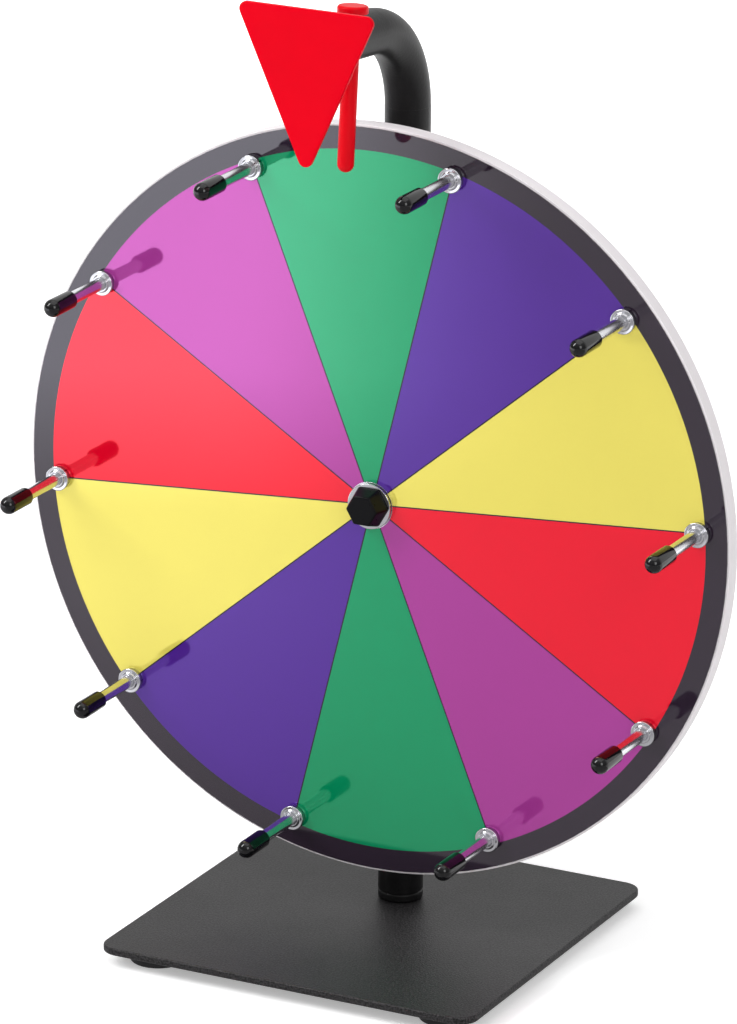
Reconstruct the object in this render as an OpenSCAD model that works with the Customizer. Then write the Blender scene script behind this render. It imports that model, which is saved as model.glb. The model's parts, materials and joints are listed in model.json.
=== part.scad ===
// Tabletop prize wheel: a printed disc with pegs turns on a bent tube post, and a flexible
// clicker hangs from the tube behind a triangular pointer.
// Millimetres. +Z is up, the printed face looks towards -Y, and the origin lies on the table
// under the middle of the base plate.

/* [Base] */
// Width of the base plate, from side to side
base_w = 163; // [120:1:220]
// Depth of the base plate, from front to back
base_d = 160; // [150:1:220]
// Thickness of the base plate
plate_t = 3; // [2:0.5:6]
// Radius of the base plate's corners
plate_corner_r = 8; // [2:0.5:20]
// Diameter of a rubber foot
foot_d = 24; // [14:1:30]
// Height of a rubber foot
foot_h = 5.5; // [5:0.5:12]
// Rounding of a foot's lower edge
foot_round = 1.2; // [0.4:0.1:2]
// Distance from a foot's centre to the edges of the plate
foot_inset = 18; // [16:1:40]
// Diameter of the screw that holds the post
base_screw_d = 8; // [5:0.5:9]
// Diameter of that screw's round head
base_screw_head_d = 14; // [12:0.5:18]
// Height of that screw's round head
base_screw_head_h = 4.4; // [3:0.1:4.8]
// Width across the flats of the screw's hexagon socket
base_screw_socket = 5; // [3:0.5:6]
// Depth of that socket
base_screw_socket_h = 2.6; // [1.5:0.1:2.8]
// Length of the screw's thread above the base plate
base_screw_reach = 16; // [10:1:20]

/* [Post] */
// Outer diameter of the post's tube
tube_d = 18; // [16:0.5:22]
// Wall of the post's tube
tube_wall = 1.5; // [1:0.1:2.2]
// Distance of the post behind the middle of the base plate
post_back = 23.5; // [10:0.5:40]
// Height of the collar at the post's foot
foot_collar_h = 4; // [3:0.5:10]
// Rounding of that collar's edges
foot_collar_round = 1.2; // [0.4:0.1:1.4]
// Length of the plug inside the tube's foot
plug_len = 22; // [18:1:40]
// Radius of the bend at the tube's centre line
bend_r = 37; // [30:0.5:45]
// Angle that the tube is bent through
bend_angle = 85; // [80:1:90]
// Height of the bend's start above the top edge of the disc
bend_rise = 1.5; // [0:0.5:15]

/* [Disc] */
// Diameter of the disc
disc_d = 304; // [280:1:400]
// Thickness of the foam board
board_t = 7; // [6:0.5:12]
// Thickness of the printed sheet on its face
sheet_t = 0.6; // [0.4:0.1:2]
// Width of the bare edge outside the print
print_border = 1; // [0.5:0.5:5]
// Width of the print's dark outer ring
ring_w = 9; // [5:0.5:11]
// Gap between the disc's lower edge and the base plate
base_gap = 21; // [10:0.5:60]
// Distance from the printed face back to the post's centre line
face_to_post = 28; // [25:0.5:40]
// Number of sectors, with a peg on each line between two
sectors = 10; // [8:1:12]
// Turn of the disc from the even position, against the clock
rest_turn = 4.2; // [3.6:0.1:4.8]

/* [Hub] */
// Diameter of the axle bolt
axle_d = 6; // [5:0.5:7]
// Width of the bolt's hexagon head across its flats
head_af = 10; // [9:0.5:12]
// Height of the bolt's head
head_h = 4; // [3:0.5:6]
// Wall of the black cap at its front edge
hub_cap_wall = 0.7; // [0.5:0.1:1.5]
// Flare of the black cap from its front edge to its foot
hub_cap_flare = 1.9; // [0:0.1:2]
// Thickness of the black cap over the bolt's head
hub_cap_top = 2.6; // [1:0.1:5]
// Outer diameter of a hub bearing
bearing_d = 16; // [15:0.5:18]
// Diameter of a bearing's flange
flange_d = 19; // [18.5:0.5:26]
// Thickness of a bearing's flange
flange_t = 1.2; // [0.8:0.1:2]
// Diameter of a bearing's balls
ball_d = 2.5; // [2:0.1:2.8]
// Number of balls in a bearing
ball_count = 7; // [5:1:8]
// Wall of a bearing's ball cage
cage_wall = 0.7; // [0.5:0.1:0.8]
// Diameter of the front washer
hub_washer_d = 18.5; // [12:0.5:26]
// Thickness of the front washer
hub_washer_t = 1.2; // [0.8:0.1:2.5]
// Diameter of the spacer, saddle and washer at the post
spacer_d = 12; // [10:0.5:14]
// Thickness of the rear saddle behind the tube
saddle_t = 1.6; // [1:0.1:4]
// Thickness of the rear washer
rear_washer_t = 1.6; // [0.8:0.1:3]
// Height of the lock nut's hexagon
nut_h = 4.6; // [3:0.1:8]
// Diameter of the lock nut's round collar
nut_collar_d = 9; // [8:0.1:9]
// Height of the lock nut's round collar
nut_collar_h = 1.4; // [0.5:0.1:3]
// Length of thread past the lock nut
thread_out = 1.5; // [0.5:0.5:6]

/* [Pegs] */
// Distance from a peg's centre to the edge of the disc
peg_inset = 12.5; // [10.5:0.5:20]
// Diameter of a peg's rod
peg_d = 5; // [4:0.1:6]
// Distance from the printed face to a peg's rounded end
peg_reach = 44.3; // [40:0.1:52]
// Diameter of a peg's bright collar
collar_d = 10; // [9:0.1:13]
// Thickness of a peg's bright collar
collar_t = 1.4; // [1:0.1:3]
// Diameter of the lock washer under a collar
lock_washer_d = 9.2; // [8.5:0.1:12]
// Thickness of the lock washer under a collar
lock_washer_t = 2.2; // [0.8:0.1:3]
// Outer diameter of a peg's vinyl cap
peg_cap_d = 7.2; // [6.8:0.1:9]
// Length of a peg's vinyl cap
peg_cap_len = 16.5; // [10:0.5:16.5]
// Thickness of a vinyl cap at its round end
peg_cap_top = 1.8; // [1.2:0.1:2.5]
// Diameter of the washer behind the disc
back_washer_d = 10; // [9.5:0.1:14]
// Thickness of the washer behind the disc
back_washer_t = 1; // [0.5:0.1:2]
// Width of a peg's nut across its flats
peg_nut_af = 8; // [7.5:0.1:10]
// Height of a peg's nut
peg_nut_h = 4; // [2.5:0.1:5]
// Length of a peg past its nut
peg_end = 1; // [0.5:0.1:3]

/* [Clicker] */
// Diameter of the clicker's flexible rod
clicker_d = 6.5; // [4:0.1:7]
// Distance of the clicker in front of the printed face, at the tube
clicker_out = 20; // [17:0.5:22]
// Reach of the clicker's end below the top of the pegs
clicker_bite = 2.2; // [1:0.1:2.4]
// Diameter of the clicker's round head
clicker_head_d = 12; // [9:0.5:16]
// Thickness of the clicker's round head
clicker_head_t = 3.2; // [2:0.1:6]
// Rounding of the head's upper edge
clicker_head_round = 0.8; // [0.3:0.1:1]
// Length of the clicker below the tube that its hole still steadies
clicker_stub = 1; // [0.5:0.1:3]

/* [Pointer] */
// Width of the pointer's top edge
pointer_w = 56; // [40:0.5:70]
// Height of the pointer from top edge to tip
pointer_h = 61; // [45:0.5:80]
// Thickness of the pointer's plate
pointer_t = 2; // [1.5:0.1:5]
// Radius of the pointer's corners
pointer_corner_r = 3; // [2:0.5:8]
// Distance from the printed face to the pointer's front
pointer_out = 58; // [56:0.5:64]
// Height of the pointer's top edge above the middle of the tube's end
pointer_rise = 16; // [13:0.5:24]
// Length of the pointer's spigot inside the tube
spigot_len = 14; // [8:0.5:18]
// Wall of the pointer's spigot
spigot_wall = 1.6; // [1:0.1:3]

/* [Clearances] */
// Radial gap of pieces that are pushed or pressed together
fit_gap = 0.05; // [0.03:0.01:0.1]
// Radial gap of a bolt, peg or rod in its drilled hole
hole_gap = 0.2; // [0.1:0.05:0.5]
// Gap of a ball to its grooves and its cage
ball_gap = 0.06; // [0.05:0.01:0.1]
// Length by which an inner race stands out past its flange
race_lip = 0.4; // [0.2:0.1:1]
// Gap where the clicker starts to bend
flex_gap = 0.3; // [0.2:0.1:0.6]

/* [Hidden] */
$fn = 96;
black = "#2b2a2c";
rubber = "#18181a";
chrome = "#d3d6da";
steel = "#b9bcc0";
white = "#f1f0ee";
red = "#e3101f";
ring_grey = "#47434a";
sector_colours = ["#12a568", "#6341a4", "#f3e46a", "#e72a3c", "#b348a0"];

// How far a cutting shape runs past the face that it cuts
cut = 1;

base_top = foot_h + plate_t;
disc_r = disc_d / 2;
print_r = disc_r - print_border;
axle_h = base_top + base_gap + disc_r;
face_y = post_back - face_to_post;
board_y = face_y + sheet_t;
back_y = board_y + board_t;
sector_angle = 360 / sectors;
peg_circle_r = disc_r - peg_inset;

tube_r = tube_d / 2;
tube_bore_r = tube_r - tube_wall;
tube_foot = base_top + foot_collar_h;
// Draw of the wall along the bend, and lap of the straight lengths over its ends
bend_draw = 0.05;
bend_lap = 0.5;
bend_z = axle_h + disc_r + bend_rise;
arm_y = post_back - bend_r * (1 - cos(bend_angle));
arm_z = bend_z + bend_r * sin(bend_angle);

axle_r = axle_d / 2;
bearing_r = bearing_d / 2;
flange_r = flange_d / 2;
bearing_w = flange_t + (board_t + sheet_t) / 2;
ball_circle_r = (axle_r + bearing_r) / 2;
groove_r = ball_d / 2 + ball_gap;
// Gap on each side of the ball cage, and the plain strip of cage beside the balls
cage_gap = 0.25;
cage_side = 0.5;
inner_land_r = ball_circle_r - cage_wall / 2 - cage_gap;
outer_land_r = ball_circle_r + cage_wall / 2 + cage_gap;
front_race_y = face_y - flange_t - race_lip;
rear_race_y = back_y + flange_t + race_lip;
hub_washer_y = front_race_y - hub_washer_t;
hub_cap_h = head_h + hub_cap_top;
saddle_y = post_back + tube_r + saddle_t;
nut_y = saddle_y + rear_washer_t;
axle_end_y = nut_y + nut_h + nut_collar_h + thread_out;

collar_y = face_y - lock_washer_t - collar_t;
peg_tip_y = face_y - peg_reach;
peg_rod_y = peg_tip_y + peg_cap_top;
peg_nut_y = back_y + back_washer_t;
peg_end_y = peg_nut_y + peg_nut_h + peg_end;
// Bevel on the ends of turned pins and the edges of turned rings
bevel = 0.3;

clicker_r = clicker_d / 2;
clicker_y = face_y - clicker_out;
clicker_z = arm_height(clicker_y);
// Distances along the clicker, down from the tube's centre line
flex_depth = tube_r + clicker_stub + flex_gap + clicker_r;
clicker_low_z = axle_h + peg_circle_r + peg_d / 2 - clicker_bite;
clicker_depth = (clicker_z - clicker_low_z - clicker_r) / sin(bend_angle);

pointer_back_y = face_y - pointer_out + pointer_t;
pointer_top_z = arm_height(pointer_back_y) + pointer_rise;

PEGS = [for (k = [1 : sectors]) k];
FEET = [
    ["foot_front_left", -1, -1],
    ["foot_front_right", 1, -1],
    ["foot_back_left", -1, 1],
    ["foot_back_right", 1, 1]
];

// Height of the tube's arm where its centre line passes a given y
function arm_height(y) = arm_z + (arm_y - y) / tan(bend_angle);

// Angle of the line after sector k, clockwise from the top as the front shows it
function line_angle(k) = (k - 1.5) * sector_angle - rest_turn;

// Direction of a clockwise angle from the top, in the plane that on_axle() draws in
function clock(a) = [sin(a), -cos(a)];

// The two ends of an edge from a to b, moved out by r to the left of its run
function edge_out(a, b, r) =
    let (d = (b - a) / norm(b - a), out = r * [-d[1], d[0]])
    [a + out, b + out];

// Draws along the axle: z runs to the back from the given y, and x stays x
module on_axle(y) {
    translate([0, y, axle_h]) rotate([-90, 0, 0]) children();
}

// Draws at each peg's place, or at peg k alone
module on_pegs(y, pegs = PEGS) {
    for (k = pegs)
        on_axle(y) translate(peg_circle_r * clock(line_angle(k))) children();
}

// Draws at the clicker, with z up along its rod from the tube's centre line
module on_clicker() {
    translate([0, clicker_y, clicker_z]) rotate([bend_angle - 90, 0, 0]) children();
}

// Draws at the front bearing from its outer face, with z into the disc
module at_front_bearing() {
    on_axle(face_y - flange_t) children();
}

// The same at the rear bearing, which faces the other way
module at_rear_bearing() {
    on_axle(back_y + flange_t) mirror([0, 0, 1]) children();
}

// All the space in front of a given y
module space_before(y) {
    translate([-disc_d, y - disc_d, 0]) cube([2 * disc_d, disc_d, 3 * axle_h]);
}

module ring(outer_r, inner_r, h) {
    difference() {
        cylinder(r = outer_r, h = h);
        translate([0, 0, -cut]) cylinder(r = inner_r, h = h + 2 * cut);
    }
}

// A hexagon with flats up and down
module hexagon(af) {
    circle(d = af / cos(30), $fn = 6);
}

module rounded_rectangle(w, d, r) {
    square([w - 2 * r, d], center = true);
    square([w, d - 2 * r], center = true);
    for (x = [-1, 1], y = [-1, 1])
        translate([x * (w / 2 - r), y * (d / 2 - r)]) circle(r);
}

// A triangle on its tip with round corners, hung from the middle of its top edge.
// Its straight edges lie a hair inside the corner rounds.
module rounded_triangle(w, h, r) {
    hair = 0.01;
    c = [[r - w / 2, -r], [w / 2 - r, -r], [0, r - h]];
    for (p = c) translate(p) circle(r);
    polygon([for (i = [0 : 2]) each edge_out(c[i], c[(i + 1) % 3], r - hair)]);
}

// Half the section of a turned disc whose corners are rounded by low at z = 0 and high at z = h
module turned_section(r, h, low, high) {
    translate([0, low]) square([r, h - low - high]);
    translate([0, low]) square([r - high, h - low]);
    square([r - low, h - high]);
    if (low > 0) translate([r - low, low]) quarter(low, -1);
    if (high > 0) translate([r - high, h - high]) quarter(high, 1);
}

// A quarter of a round towards +X, above or below
module quarter(r, side) {
    intersection() {
        circle(r);
        translate([0, side > 0 ? 0 : -r]) square(r);
    }
}

module base_plate() {
    color(black) difference() {
        translate([0, 0, foot_h]) linear_extrude(plate_t)
            rounded_rectangle(base_w, base_d, plate_corner_r);
        translate([0, post_back, foot_h - cut])
            cylinder(r = base_screw_d / 2 + hole_gap, h = plate_t + 2 * cut);
    }
}

module foot(side_x, side_y) {
    color(rubber)
        translate([side_x * (base_w / 2 - foot_inset), side_y * (base_d / 2 - foot_inset), 0])
            rotate_extrude() turned_section(foot_d / 2, foot_h, foot_round, 0);
}

// Round-headed socket screw that comes up through the plate into the post's plug
module base_screw() {
    head_round = base_screw_head_h / 2;
    color(steel) translate([0, post_back, foot_h]) difference() {
        union() {
            translate([0, 0, -base_screw_head_h])
                rotate_extrude()
                    turned_section(base_screw_head_d / 2, base_screw_head_h, head_round, 0);
            cylinder(d = base_screw_d, h = plate_t + base_screw_reach);
        }
        translate([0, 0, -base_screw_head_h - cut])
            linear_extrude(base_screw_socket_h + cut) hexagon(base_screw_socket);
    }
}

// Threaded plug in the tube's foot, whose collar stands on the plate
module post_plug() {
    color(black) translate([0, post_back, base_top]) difference() {
        union() {
            rotate_extrude()
                turned_section(tube_r, foot_collar_h, foot_collar_round, foot_collar_round);
            translate([0, 0, foot_collar_h]) cylinder(r = tube_bore_r - fit_gap, h = plug_len);
        }
        translate([0, 0, -cut])
            cylinder(r = base_screw_d / 2 + fit_gap, h = foot_collar_h + plug_len + 2 * cut);
    }
}

// Section of the tube, its wall drawn in from both faces by inset
module tube_section(inset = 0) {
    difference() {
        circle(tube_r - inset);
        circle(tube_bore_r + inset);
    }
}

// The tube in one run: upright post, bend and rising arm, the arm's end still too long.
// The straight lengths lap over the ends of the bend, whose wall is drawn thinner.
module tube_run() {
    arm_len = (arm_y - pointer_back_y) / sin(bend_angle) + tube_r;
    translate([0, post_back, tube_foot])
        linear_extrude(bend_z - tube_foot + bend_lap) tube_section();
    translate([0, post_back - bend_r, bend_z]) rotate([90, 0, 90])
        rotate_extrude(angle = bend_angle) translate([bend_r, 0]) tube_section(bend_draw);
    translate([0, arm_y, arm_z]) rotate([bend_angle, 0, 0]) translate([0, 0, -bend_lap])
        linear_extrude(arm_len) tube_section();
}

module post_tube() {
    color(black) difference() {
        tube_run();
        space_before(pointer_back_y);
        on_axle(post_back - tube_r - cut)
            cylinder(r = axle_r + hole_gap, h = tube_d + 2 * cut);
        on_clicker() translate([0, 0, -tube_r - cut])
            cylinder(r = clicker_r + hole_gap, h = tube_d + 2 * cut);
    }
}

// Moulded pointer: an upright plate with a hollow spigot that plugs the tube's end
module pointer() {
    spigot_r = tube_bore_r - fit_gap;
    color(red) {
        translate([0, pointer_back_y, pointer_top_z]) rotate([90, 0, 0])
            linear_extrude(pointer_t) rounded_triangle(pointer_w, pointer_h, pointer_corner_r);
        difference() {
            translate([0, pointer_back_y, arm_height(pointer_back_y)])
                rotate([bend_angle, 0, 0]) translate([0, 0, -spigot_len])
                    ring(spigot_r, spigot_r - spigot_wall, spigot_len + tube_r);
            space_before(pointer_back_y);
        }
    }
}

// Head and upper length of the flexible clicker, held in the tube's cross holes
module clicker_stem() {
    color(red) on_clicker() {
        translate([0, 0, tube_r + fit_gap])
            rotate_extrude()
                turned_section(clicker_head_d / 2, clicker_head_t, 0, clicker_head_round);
        translate([0, 0, -tube_r - clicker_stub])
            cylinder(r = clicker_r, h = tube_d + clicker_stub + fit_gap);
    }
}

// Free length of the clicker, round at both ends, which bends aside for the pegs
module clicker_finger() {
    color(red) on_clicker() translate([0, 0, -clicker_depth]) rotate_extrude()
        intersection() {
            union() {
                circle(clicker_r);
                translate([-clicker_r, 0]) square([clicker_d, clicker_depth - flex_depth]);
                translate([0, clicker_depth - flex_depth]) circle(clicker_r);
            }
            translate([0, -clicker_r]) square([clicker_r, clicker_depth + clicker_d]);
        }
}

module axle_bolt() {
    color(steel) {
        on_axle(hub_washer_y - head_h) linear_extrude(head_h) hexagon(head_af);
        on_axle(hub_washer_y) cylinder(r = axle_r - fit_gap, h = axle_end_y - hub_washer_y);
    }
}

// Push-on plastic cap over the bolt's head
module hub_cap() {
    front_af = head_af + 2 * hub_cap_wall;
    foot_af = front_af + 2 * hub_cap_flare;
    color(rubber) on_axle(hub_washer_y - hub_cap_h) difference() {
        cylinder(d1 = front_af / cos(30), d2 = foot_af / cos(30), h = hub_cap_h, $fn = 6);
        translate([0, 0, hub_cap_top])
            linear_extrude(head_h + cut) hexagon(head_af + 2 * fit_gap);
    }
}

module front_washer() {
    color(chrome) on_axle(hub_washer_y)
        ring(hub_washer_d / 2, axle_r + hole_gap, hub_washer_t);
}

// Spacer from the rear bearing to the post, hollowed to sit on the round tube
module hub_spacer() {
    color(rubber) difference() {
        on_axle(rear_race_y)
            ring(spacer_d / 2, axle_r + hole_gap, post_back - rear_race_y);
        translate([0, post_back, 0]) cylinder(r = tube_r + fit_gap, h = 2 * axle_h);
    }
}

module rear_saddle() {
    color(rubber) difference() {
        on_axle(post_back)
            ring(spacer_d / 2, axle_r + hole_gap, saddle_y - post_back);
        translate([0, post_back, 0]) cylinder(r = tube_r + fit_gap, h = 2 * axle_h);
    }
}

module rear_washer() {
    color(steel) on_axle(saddle_y)
        ring(spacer_d / 2, axle_r + hole_gap, rear_washer_t);
}

// Lock nut with a round collar over its hexagon
module axle_nut() {
    color(steel) on_axle(nut_y) difference() {
        union() {
            linear_extrude(nut_h) hexagon(head_af);
            translate([0, 0, nut_h]) cylinder(d = nut_collar_d, h = nut_collar_h);
        }
        translate([0, 0, -cut])
            cylinder(r = axle_r + fit_gap, h = nut_h + nut_collar_h + 2 * cut);
    }
}

// Section through a bearing's ball groove
module groove() {
    translate([ball_circle_r, bearing_w / 2]) circle(groove_r);
}

module inner_race() {
    color(steel) rotate_extrude() difference() {
        translate([axle_r, -race_lip]) square([inner_land_r - axle_r, bearing_w + race_lip]);
        groove();
    }
}

module outer_race() {
    color(chrome) rotate_extrude() difference() {
        translate([outer_land_r, 0]) {
            square([flange_r - outer_land_r, flange_t]);
            square([bearing_r - outer_land_r, bearing_w]);
        }
        groove();
    }
}

// Places of a bearing's balls
module on_balls() {
    for (i = [0 : ball_count - 1])
        rotate([0, 0, i * 360 / ball_count])
            translate([ball_circle_r, 0, bearing_w / 2]) children();
}

module balls() {
    color(chrome) on_balls() sphere(d = ball_d);
}

// Ring between the races with a drilled pocket for each ball
module cage() {
    cage_w = ball_d + 2 * (ball_gap + cage_side);
    color(steel) difference() {
        translate([0, 0, (bearing_w - cage_w) / 2])
            ring(ball_circle_r + cage_wall / 2, ball_circle_r - cage_wall / 2, cage_w);
        on_balls() rotate([0, 90, 0])
            cylinder(r = groove_r, h = cage_wall + 2 * cut, center = true);
    }
}

// The holes through board and sheet for the bearings and the pegs
module disc_holes(y, h) {
    on_axle(y - cut) cylinder(r = bearing_r + fit_gap, h = h + 2 * cut);
    on_pegs(y - cut) cylinder(r = peg_d / 2 + hole_gap, h = h + 2 * cut);
}

module wheel_board() {
    color(white) difference() {
        on_axle(board_y) cylinder(r = disc_r, h = board_t);
        disc_holes(board_y, board_t);
    }
}

// Printed sheet: coloured sectors inside a dark ring
module face_sheet() {
    sector_r = print_r - ring_w;
    difference() {
        on_axle(face_y) {
            color(ring_grey) ring(print_r, sector_r, sheet_t);
            for (k = PEGS)
                color(sector_colours[(k - 1) % len(sector_colours)])
                    linear_extrude(sheet_t) sector(sector_r, line_angle(k), line_angle(k + 1));
        }
        disc_holes(face_y, sheet_t);
    }
}

module sector(r, from, to) {
    intersection() {
        circle(r);
        polygon([[0, 0], 2 * r * clock(from), 2 * r * clock((from + to) / 2), 2 * r * clock(to)]);
    }
}

// Bright rod that stands out of the disc, beveled at both ends
module peg_pin(k) {
    len = peg_end_y - peg_rod_y;
    color(chrome) on_pegs(peg_rod_y, [k]) rotate_extrude()
        polygon([[0, 0], [peg_d / 2 - bevel, 0], [peg_d / 2, bevel], [peg_d / 2, len - bevel],
            [peg_d / 2 - bevel, len], [0, len]]);
}

// Soft cap with a round end, pushed over the rod
module peg_cap(k) {
    r = peg_cap_d / 2;
    color(rubber) on_pegs(peg_tip_y, [k]) rotate_extrude() difference() {
        union() {
            translate([0, r]) quarter(r, -1);
            translate([0, r]) square([r, peg_cap_len - r]);
        }
        translate([-cut, peg_cap_top])
            square([peg_d / 2 + fit_gap + cut, peg_cap_len - peg_cap_top + cut]);
    }
}

// Bright collars that the pegs are shouldered against
module peg_collars() {
    color(chrome) on_pegs(collar_y) difference() {
        rotate_extrude() turned_section(collar_d / 2, collar_t, bevel, 0);
        translate([0, 0, -cut]) cylinder(r = peg_d / 2 + fit_gap, h = collar_t + 2 * cut);
    }
}

module peg_lock_washers() {
    color(steel) on_pegs(face_y - lock_washer_t)
        ring(lock_washer_d / 2, peg_d / 2 + hole_gap, lock_washer_t);
}

module peg_back_washers() {
    color(steel) on_pegs(back_y)
        ring(back_washer_d / 2, peg_d / 2 + hole_gap, back_washer_t);
}

module peg_nuts() {
    color(steel) on_pegs(peg_nut_y) difference() {
        linear_extrude(peg_nut_h) hexagon(peg_nut_af);
        translate([0, 0, -cut]) cylinder(r = peg_d / 2 + fit_gap, h = peg_nut_h + 2 * cut);
    }
}

base_plate();
base_screw();
post_plug();
post_tube();
pointer();
for (f = FEET) foot(f[1], f[2]);
clicker_stem();
clicker_finger();
axle_bolt();
hub_cap();
front_washer();
hub_spacer();
rear_saddle();
rear_washer();
axle_nut();
at_front_bearing() inner_race();  // front_inner_race
at_rear_bearing() inner_race();  // rear_inner_race
at_front_bearing() outer_race();  // front_outer_race
at_rear_bearing() outer_race();  // rear_outer_race
at_front_bearing() balls();  // front_balls
at_rear_bearing() balls();  // rear_balls
at_front_bearing() cage();  // front_cage
at_rear_bearing() cage();  // rear_cage
wheel_board();
face_sheet();
peg_collars();
peg_lock_washers();
peg_back_washers();
peg_nuts();
for (k = PEGS) peg_pin(k);
for (k = PEGS) peg_cap(k);
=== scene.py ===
"""Tabletop prize wheel: the looks of its pieces, set on the frame of the CAD part."""

import json
import math

import bmesh
import bpy
from mathutils import Matrix, Vector


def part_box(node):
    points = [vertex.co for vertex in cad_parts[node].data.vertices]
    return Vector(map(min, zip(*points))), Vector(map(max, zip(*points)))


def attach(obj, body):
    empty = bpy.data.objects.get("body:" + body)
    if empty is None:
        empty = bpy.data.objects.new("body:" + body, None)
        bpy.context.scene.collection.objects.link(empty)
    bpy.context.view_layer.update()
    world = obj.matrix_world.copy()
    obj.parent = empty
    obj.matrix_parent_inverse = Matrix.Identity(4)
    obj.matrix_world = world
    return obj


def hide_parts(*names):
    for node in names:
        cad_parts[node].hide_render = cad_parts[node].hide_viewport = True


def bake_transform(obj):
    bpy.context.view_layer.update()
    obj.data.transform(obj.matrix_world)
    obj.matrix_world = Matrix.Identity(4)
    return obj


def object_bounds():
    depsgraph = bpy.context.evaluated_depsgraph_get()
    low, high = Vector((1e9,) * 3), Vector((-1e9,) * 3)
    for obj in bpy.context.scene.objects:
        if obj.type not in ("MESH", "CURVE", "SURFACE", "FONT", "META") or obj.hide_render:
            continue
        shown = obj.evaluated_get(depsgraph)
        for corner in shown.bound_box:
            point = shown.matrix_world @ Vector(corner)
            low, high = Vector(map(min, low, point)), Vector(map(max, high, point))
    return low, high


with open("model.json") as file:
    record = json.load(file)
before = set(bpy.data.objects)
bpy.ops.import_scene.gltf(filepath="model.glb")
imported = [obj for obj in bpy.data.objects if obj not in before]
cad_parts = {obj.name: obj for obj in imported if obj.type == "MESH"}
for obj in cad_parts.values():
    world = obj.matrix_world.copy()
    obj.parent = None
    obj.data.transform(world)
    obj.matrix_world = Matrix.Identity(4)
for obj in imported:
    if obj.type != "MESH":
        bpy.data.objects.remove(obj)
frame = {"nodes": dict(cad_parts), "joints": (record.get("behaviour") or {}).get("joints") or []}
CAD_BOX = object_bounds()

bl_info = {
    "name": "Prize wheel",
    "version": (1, 0, 0),
    "blender": (4, 5, 0),
    "location": "View3D > Sidebar > Prize wheel",
    "description": "Builds the pieces and finishes of a tabletop prize wheel",
    "category": "Object",
}

MM = 0.001
PEGS = range(1, 11)
BALLS = 7
PEG_BORE = 2.52 * MM
AXLE_BORE = 3.05 * MM
SIXTH = math.pi / 3
SHARP_ANGLE = 35.0


def tone(red, green, blue):
    """A colour written as 0 to 255 on a screen, as linear light."""
    def linear(level):
        level /= 255
        return level / 12.92 if level <= 0.04045 else ((level + 0.055) / 1.055) ** 2.4
    return (linear(red), linear(green), linear(blue))


def middle(node):
    """The middle of a CAD node's box."""
    low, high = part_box(node)
    return (low + high) / 2


def axle_middle():
    """A point on the axle."""
    return middle("front_washer")


def depth_of(node):
    """Front and back of a node along the axle."""
    low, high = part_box(node)
    return low.y, high.y


def half_width(node):
    """Half of a node's width from left to right, which is the radius of a round one."""
    low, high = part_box(node)
    return (high.x - low.x) / 2


def length_prop(label, text, default):
    """A size in metres."""
    return bpy.props.FloatProperty(name=label, description=text, default=default, min=0.0,
                                   precision=5, unit="LENGTH")


def colour_prop(label, text, default):
    """A colour in linear light."""
    return bpy.props.FloatVectorProperty(name=label, description=text, default=default,
                                         subtype="COLOR", size=3, min=0.0, max=1.0)


# Sizes and colours

class PrizeWheelSizes(bpy.types.PropertyGroup):
    """Small sizes that the looks add to the CAD part."""
    plate_edge: length_prop("Base edge", "Rounding of the base plate's edges", 0.7 * MM)
    foot_edge: length_prop("Foot edge", "Rounding of the rubber feet", 1.0 * MM)
    board_edge: length_prop("Board edge", "Rounding of the disc's edges", 0.35 * MM)
    pointer_edge: length_prop("Pointer edge", "Rounding of the pointer's edges", 0.45 * MM)
    head_edge: length_prop("Clicker head edge", "Rounding of the clicker's flat head", 1.1 * MM)
    washer_edge: length_prop("Washer edge", "Rounding of the flat washers", 0.25 * MM)
    collar_edge: length_prop("Collar edge", "Rounding of the boss of the peg collars", 0.4 * MM)
    collar_step: length_prop("Collar step", "Drop from a peg collar's boss to its rim", 0.65 * MM)
    cap_edge: length_prop("Cap mouth", "Rounding of the open end of the peg caps", 0.3 * MM)
    hub_edge: length_prop("Hub cap edge", "Rounding of the hub cap's edges", 0.55 * MM)
    thread_pitch: length_prop("Thread pitch", "Pitch of the threads behind the disc", 0.8 * MM)
    thread_depth: length_prop("Thread depth", "Height of the thread's ridges", 0.28 * MM)
    line_width: length_prop("Line width", "Width of the lines between the sectors", 0.5 * MM)
    ring_width: length_prop("Ring width", "Width of the dark ring round the sectors", 9.0 * MM)


class PrizeWheelColours(bpy.types.PropertyGroup):
    """Colours of the finishes."""
    green: colour_prop("Green", "First sector and every fifth", tone(0, 155, 101))
    violet: colour_prop("Violet", "Second sector and every fifth", tone(84, 39, 154))
    yellow: colour_prop("Yellow", "Third sector and every fifth", tone(243, 229, 103))
    red: colour_prop("Red", "Fourth sector and every fifth", tone(246, 2, 42))
    magenta: colour_prop("Magenta", "Fifth sector and every fifth", tone(175, 60, 156))
    ring: colour_prop("Ring", "Dark ring round the sectors", tone(40, 29, 43))
    line: colour_prop("Lines", "Lines between the sectors", tone(36, 22, 48))
    board: colour_prop("Board", "Foam board and its edge", tone(236, 231, 234))
    powder: colour_prop("Powder coat", "Base plate and post", tone(36, 35, 36))
    rubber: colour_prop("Foot rubber", "Feet", tone(26, 26, 28))
    pointer: colour_prop("Pointer", "Red plastic", tone(226, 0, 26))
    clicker: colour_prop("Clicker", "Red rubber", tone(224, 2, 22))
    vinyl: colour_prop("Cap vinyl", "Caps on the pegs", tone(9, 9, 11))
    plastic: colour_prop("Black plastic", "Hub cap, spacer and saddle", tone(10, 10, 12))
    chrome: colour_prop("Chrome", "Pegs, collars, hub washer, outer races and balls", tone(228, 228, 232))
    steel: colour_prop("Steel", "Zinc-plated hardware", tone(186, 188, 194))


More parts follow.
